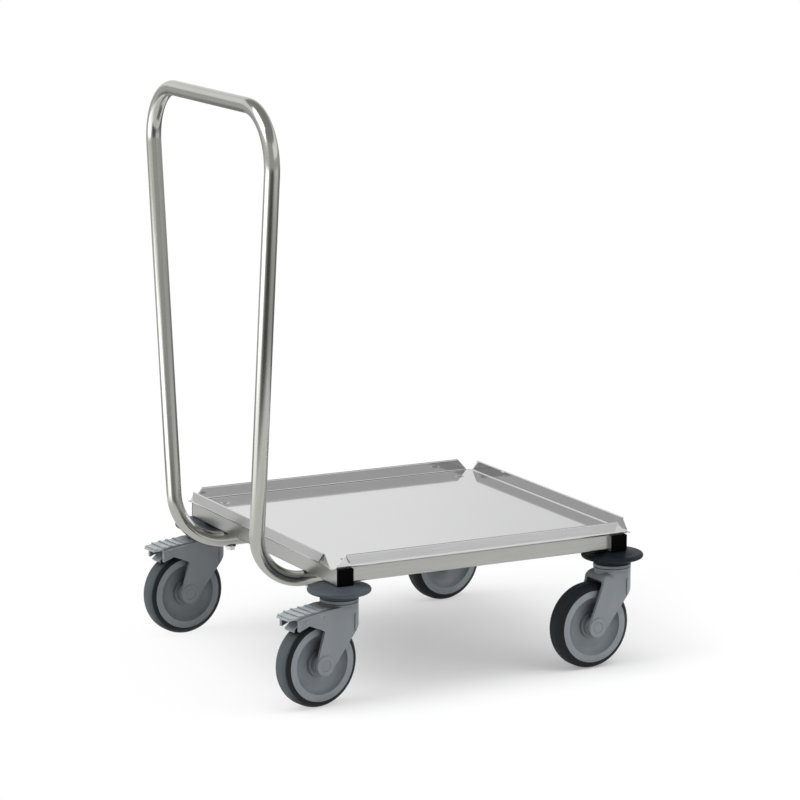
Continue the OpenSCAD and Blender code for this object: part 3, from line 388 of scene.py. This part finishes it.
# Cells of the steel's grain per metre: along X, along Y, in no direction, and around and along a tube
ALONG_X, ALONG_Y, ROUND, TUBE = (14, 900, 900), (900, 14, 900), (300, 300, 300), (1300, 16, 1)
FRAME_LOW, FRAME_HIGH = (0.385, 0.385, 0.37), (0.45, 0.45, 0.435)
HANDLE_LOW, HANDLE_HIGH = (0.385, 0.385, 0.36), (0.45, 0.45, 0.425)
MATERIALS = {
    "deck_steel": steel("deck_steel", (0.615, 0.615, 0.62), (0.65, 0.65, 0.655), (0.2, 0.28), ALONG_X,
                        tray=((DECK_SIDE / 2 - 0.5) * MM, 0.3)),
    "frame_steel": steel("frame_steel", FRAME_LOW, FRAME_HIGH, (0.26, 0.36), ALONG_X),
    "frame_steel_across": steel("frame_steel_across", FRAME_LOW, FRAME_HIGH, (0.26, 0.36), ALONG_Y),
    "handle_steel": steel("handle_steel", HANDLE_LOW, HANDLE_HIGH, (0.13, 0.21), TUBE, "UV"),
    # The swivel plates' steel is darkened to paint the dark reflection of the bumper disc above them
    "plate_steel_painted_dark": steel("plate_steel_painted_dark", (0.12, 0.142, 0.155), (0.165, 0.187, 0.2), (0.3, 0.42), ROUND),
    "pin_steel": steel("pin_steel", (0.26, 0.27, 0.28), (0.34, 0.35, 0.36), (0.45, 0.6), ROUND),
    "zinc_steel": steel("zinc_steel", (0.5, 0.5, 0.5), (0.66, 0.66, 0.66), (0.22, 0.36), ROUND),
    "black_plastic": plastic("black_plastic", (0.001, 0.001, 0.001), (0.002, 0.002, 0.002), (0.42, 0.56),
                             specular=0.02),
    # The rear bumpers are lightened with painted light, and their darker copy for the front paints the shade
    # under the deck
    "bumper_plastic": plastic("bumper_plastic", (0.044, 0.057, 0.07), (0.058, 0.073, 0.088), (0.42, 0.55),
                              specular=0.4),
    "bumper_plastic_shaded": plastic("bumper_plastic_shaded", (0.003, 0.006, 0.01), (0.006, 0.01, 0.015),
                                   (0.42, 0.55), specular=0.2),
    "fork_plastic": plastic("fork_plastic", (0.2, 0.222, 0.238), (0.23, 0.252, 0.268), (0.42, 0.54)),
    # The rims take deeper painted shade, which darkens their dish
    "rim_plastic": plastic("rim_plastic", (0.218, 0.243, 0.262), (0.248, 0.273, 0.292), (0.42, 0.54),
                           recess_shade=(0.022, 0.2)),
    "pedal_plastic": plastic("pedal_plastic", (0.36, 0.39, 0.405), (0.42, 0.45, 0.465), (0.36, 0.48)),
    "axle_steel": plastic("axle_steel", (0.19, 0.212, 0.228), (0.22, 0.242, 0.258), (0.35, 0.5)),
    # The rear tyres' treads are lighter with dust and painted light
    "tyre_rubber": rubber("tyre_rubber", (0.003, 0.005, 0.007), (0.008, 0.011, 0.014), (0.5, 0.68),
                          (0.08, 0.097, 0.106)),
    # A darker copy for the front tyres, whose tread colour paints the shade they are in
    "tyre_rubber_shaded": rubber("tyre_rubber_shaded", (0.003, 0.005, 0.007), (0.008, 0.011, 0.014),
                                (0.5, 0.68), (0.008, 0.012, 0.015)),
    "pad_rubber": rubber("pad_rubber", (0.01, 0.011, 0.012), (0.024, 0.025, 0.027), (0.6, 0.8)),
}


# Nodes whose look differs from that of their slot
LOOKS = {"rear_cross_tube": "frame_steel_across", "front_cross_tube": "frame_steel_across"}
for corner in BRAKED:
    LOOKS[corner + "_brake_pins"] = "pin_steel"
# The front casters take copies of the tyre and bumper materials darkened with painted shade
for corner in FREE:
    LOOKS[corner + "_tyre"] = "tyre_rubber_shaded"
    LOOKS[corner + "_bumper"] = "bumper_plastic_shaded"
# Every swivel plate takes the steel darkened with a painted reflection
for corner in BRAKED + FREE:
    LOOKS[corner + "_swivel_plate"] = "plate_steel_painted_dark"


def dress_nodes():
    """Every CAD node gets the material of its look or else of its slot."""
    for name, obj in NODES.items():
        obj.data.materials.clear()
        obj.data.materials.append(MATERIALS[LOOKS.get(name) or SLOT_OF[name]])


# Pieces

def add_piece(name, mesh, material, body, slot, *nodes):
    """Makes a piece of the visual model that stands for CAD nodes."""
    obj = link(bpy.data.objects.new(name, mesh))
    mesh.materials.append(material)
    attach(obj, body)
    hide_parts(*nodes)
    return obj


def handle_side(side):
    """Points of the tube's centre line on one side, from the foot's end to the top bar."""
    turn = math.radians(HANDLE_LEAN)
    top_turn = HANDLE_TOP_R * math.tan((math.pi / 2 + turn) / 2)
    # Rounded to hundredths, as in part.scad
    leg_end = round(100 * ((HANDLE_H - FOOT_Z) / math.cos(turn) - top_turn)) / 100
    foot = HANDLE_FOOT_END - HANDLE_X
    points = [(foot - (foot - HANDLE_FOOT_R) * i / FOOT_STEPS, 0, 0) for i in range(FOOT_STEPS)]
    for i in range(FOOT_ARC_STEPS + 1):
        a = math.pi / 2 * i / FOOT_ARC_STEPS
        points.append((HANDLE_FOOT_R * (1 - math.sin(a)), 0, HANDLE_FOOT_R * (1 - math.cos(a))))
    for i in range(1, LEG_STEPS):
        points.append((0, 0, HANDLE_FOOT_R + (leg_end - HANDLE_FOOT_R) * i / LEG_STEPS))
    for i in range(TOP_ARC_STEPS + 1):
        a = (math.pi / 2 + turn) * i / TOP_ARC_STEPS
        points.append((0, HANDLE_TOP_R * (math.cos(a) - 1), leg_end + HANDLE_TOP_R * math.sin(a)))
    lean = Matrix.Rotation(-turn, 3, "X")
    out = []
    for p in points:
        q = lean @ Vector(p) + Vector((HANDLE_X + ORIGIN_X, HANDLE_FOOT_W / 2, FOOT_Z))
        out.append(Vector((q.x, side * q.y, q.z)) * MM)
    return out


def sweep(path, radii, sides):
    """Tube along a path with an outer and an inner wall, with UVs in metres around and along it."""
    bm = bmesh.new()
    uv = bm.loops.layers.uv.new("UVMap")
    tangents = []
    for i, p in enumerate(path):
        a, b = path[max(i - 1, 0)], path[min(i + 1, len(path) - 1)]
        tangents.append((b - a).normalized())
    normal = Vector((0, 1, 0))
    walls, lengths, length = [[] for _ in radii], [], 0.0
    for i, (p, t) in enumerate(zip(path, tangents)):
        if i:
            length += (p - path[i - 1]).length
            normal = tangents[i - 1].rotation_difference(t) @ normal
        normal = (normal - t * normal.dot(t)).normalized()
        side = t.cross(normal)
        lengths.append(length)
        for wall, r in zip(walls, radii):
            wall.append([bm.verts.new(p + (normal * math.cos(math.tau * k / sides)
                                           + side * math.sin(math.tau * k / sides)) * r)
                         for k in range(sides)])

    def quad(corners, uvs, flip):
        if flip:
            corners, uvs = corners[::-1], uvs[::-1]
        face = bm.faces.new(corners)
        face.smooth = True
        for loop, at in zip(face.loops, uvs):
            loop[uv].uv = at

    arc = math.tau * radii[0] / sides
    for w, wall in enumerate(walls):
        for i in range(len(path) - 1):
            for k in range(sides):
                n = (k + 1) % sides
                quad([wall[i][k], wall[i][n], wall[i + 1][n], wall[i + 1][k]],
                     [(arc * k, lengths[i]), (arc * (k + 1), lengths[i]),
                      (arc * (k + 1), lengths[i + 1]), (arc * k, lengths[i + 1])], w == 1)
    for i, flip in ((0, True), (len(path) - 1, False)):
        for k in range(sides):
            n = (k + 1) % sides
            quad([walls[0][i][k], walls[0][i][n], walls[1][i][n], walls[1][i][k]],
                 [(0, 0), (MM, 0), (MM, MM), (0, MM)], flip)
    return bm


def to_mesh(bm, name, sharp):
    """Mesh whose edges are sharp from this angle in degrees."""
    bmesh.ops.recalc_face_normals(bm, faces=bm.faces)
    mesh = bpy.data.meshes.new(name)
    bm.to_mesh(mesh)
    bm.free()
    mesh.set_sharp_from_angle(angle=math.radians(sharp))
    return mesh


def make_handle():
    """One bent tube in place of the two legs and the top bar."""
    left, right = handle_side(1), handle_side(-1)
    bar = [left[-1].lerp(right[-1], i / BAR_STEPS) for i in range(1, BAR_STEPS)]
    path = left + bar + right[::-1]
    bm = sweep(path, (HANDLE_R * MM, (HANDLE_R - HANDLE_T) * MM), TUBE_SIDES)
    add_piece("handle_tube", to_mesh(bm, "handle_tube", sharp=50), MATERIALS["handle_steel"], "chassis",
              "handle_steel", "left_handle_leg", "right_handle_leg", "handle_top_bar")


# Rings of a drain dimple as radius and height, from the deck's top through the hole to its underside
DRAIN_RINGS = ((7.5, 1.5), (6.9, 1.42), (6.2, 1.05), (5.4, 0.4), (4.7, -0.25), (4.25, -0.62), (4.0, -0.85),
               (4.0, -1.5), (5.3, -1.5), (5.7, -1.25), (7.2, -0.12), (7.5, 0))


def lip_stations():
    """Cross-section of a lip: its inner and outer point as (out, up), and half its length there."""
    half_side = DECK_SIDE / 2
    foot = half_side - LIP_GAP
    top = foot - LIP_CUT
    lip_top = LIP_H - FOLD_R / 2
    fold_r = FOLD_R - FOLD_EASE
    slope = LIP_CUT / (LIP_H - SHEET_T)

    def half_at(z):
        share = (z - SHEET_T) / (lip_top - SHEET_T)
        return foot - LIP_CUT * min(max(share, 0), 1)

    stations = []
    bend_y, bend_z = half_side - SHEET_T - BEND_R, SHEET_T + BEND_R
    for i in range(BEND_STEPS + 1):
        a = math.radians(-90 + 90 * i / BEND_STEPS)
        c, s = math.cos(a), math.sin(a)
        inner = (bend_y + BEND_R * c, bend_z + BEND_R * s)
        outer = (bend_y + (BEND_R + SHEET_T) * c, bend_z + (BEND_R + SHEET_T) * s)
        stations.append((inner, outer, half_at(inner[1])))
    fold_y, fold_z = half_side - SHEET_T + fold_r, LIP_H - FOLD_R
    for i in range(FOLD_STEPS + 1):
        a = math.radians(180 + (FLAP_ANGLE - 180) * i / FOLD_STEPS)
        c, s = math.cos(a), math.sin(a)
        inner = (fold_y + fold_r * c, fold_z + fold_r * s)
        outer = (fold_y + (fold_r - SHEET_T) * c, fold_z + (fold_r - SHEET_T) * s)
        stations.append((inner, outer, half_at(inner[1])))
    a = math.radians(FLAP_ANGLE)
    drop = FLAP_W - FOLD_R
    ends = [(y + drop * math.sin(a), z - drop * math.cos(a)) for y, z in stations[-1][:2]]
    stations.append((*ends, top - slope * FLAP_W / 2))
    return stations


def add_lip(bm, turn, stations, outlines):
    """A lip with its flap, turned to its side, and the sheet's two outlines on to its next corner."""
    half_side = DECK_SIDE / 2
    foot = half_side - LIP_GAP
    spin = Matrix.Rotation(turn * math.pi / 2, 3, "Z")

    def vert(x, y, z):
        return bm.verts.new((spin @ Vector((x, y, z)) + Vector((ORIGIN_X, 0, DECK_Z))) * MM)

    rows = [[vert(x, *p) for p in (inner, outer) for x in (half, -half)] for inner, outer, half in stations]
    for a, b in zip(rows, rows[1:]):
        bm.faces.new((a[0], b[0], b[1], a[1]))
        bm.faces.new((a[3], b[3], b[2], a[2]))
        bm.faces.new((a[2], b[2], b[0], a[0]))
        bm.faces.new((a[1], b[1], b[3], a[3]))
    end = rows[-1]
    bm.faces.new((end[0], end[2], end[3], end[1]))
    for outline, start, z in ((outlines[0], 0, SHEET_T), (outlines[1], 2, 0)):
        outline += [rows[0][start], rows[0][start + 1], vert(-foot, half_side, z),
                    vert(-half_side, half_side, z), vert(-half_side, foot, z)]


def add_drain(bm, x, y, edges):
    """A dimpled hole, whose rims join the edges of the sheet's top and underside."""
    turns = [math.tau * k / DRAIN_SIDES for k in range(DRAIN_SIDES)]
    rings = [[bm.verts.new(((x + ORIGIN_X + r * math.cos(a)) * MM, (y + r * math.sin(a)) * MM,
                            (DECK_Z + z) * MM)) for a in turns] for r, z in DRAIN_RINGS]
    for a, b in zip(rings, rings[1:]):
        for k in range(DRAIN_SIDES):
            n = (k + 1) % DRAIN_SIDES
            bm.faces.new((a[k], a[n], b[n], b[k]))
    for group, ring in zip(edges, (rings[0], rings[-1])):
        group += [bm.edges.get((ring[k], ring[(k + 1) % DRAIN_SIDES])) for k in range(DRAIN_SIDES)]


def make_deck():
    """The folded sheet, with bend radii, in place of the sharp CAD one."""
    bm = bmesh.new()
    outlines = ([], [])
    stations = lip_stations()
    for turn in range(4):
        add_lip(bm, turn, stations, outlines)
    top, under = outlines
    count = len(top)
    per_side = count // 4
    edges = ([], [])
    for i in range(count):
        k = (i + 1) % count
        # The first edge of each side is the lip's bend, which closes the sheet's rim there
        if i % per_side:
            bm.faces.new((top[i], top[k], under[k], under[i]))
    for group, outline in zip(edges, outlines):
        for i in range(count):
            pair = (outline[i], outline[(i + 1) % count])
            group.append(bm.edges.get(pair) or bm.edges.new(pair))
    for x in (-DRAIN_AT, DRAIN_AT):
        for y in (-DRAIN_AT, DRAIN_AT):
            add_drain(bm, x, y, edges)
    for group in edges:
        bmesh.ops.triangle_fill(bm, edges=group, use_beauty=True, use_dissolve=False)
    for face in bm.faces:
        face.smooth = True
    sheet = add_piece("deck_sheet", to_mesh(bm, "deck_sheet", sharp=24), MATERIALS["deck_steel"],
                      "chassis", "deck_steel", "deck_tray")
    flats = sheet.modifiers.new("flat faces shade flat", "WEIGHTED_NORMAL")
    flats.keep_sharp = True
    flats.weight = 100


dress_nodes()
make_deck()
make_handle()
make_world(ambient=0.36)
make_floor(colour=(0.9, 0.9, 0.9), middle=(0.22, -0.2, 0.0), bleach=0.3, fade_from=0.25, fade_to=0.75)
make_surround()
make_ceiling(*SURROUND_PROFILE[-1], level=0.4)
area_lamp("lamp_top", CAM_AZ, elevation=84, distance=3.2, size=(2.4, 2.4), watts=46)
area_lamp("lamp_left", CAM_AZ - 70, elevation=46, distance=3.0, size=(2.2, 1.8), watts=40, glossy=True)
area_lamp("lamp_right", CAM_AZ + 80, elevation=36, distance=1.4, size=(1.2, 1.2), watts=9)
make_camera()

view = bpy.context.scene.view_settings
view.view_transform = "Standard"
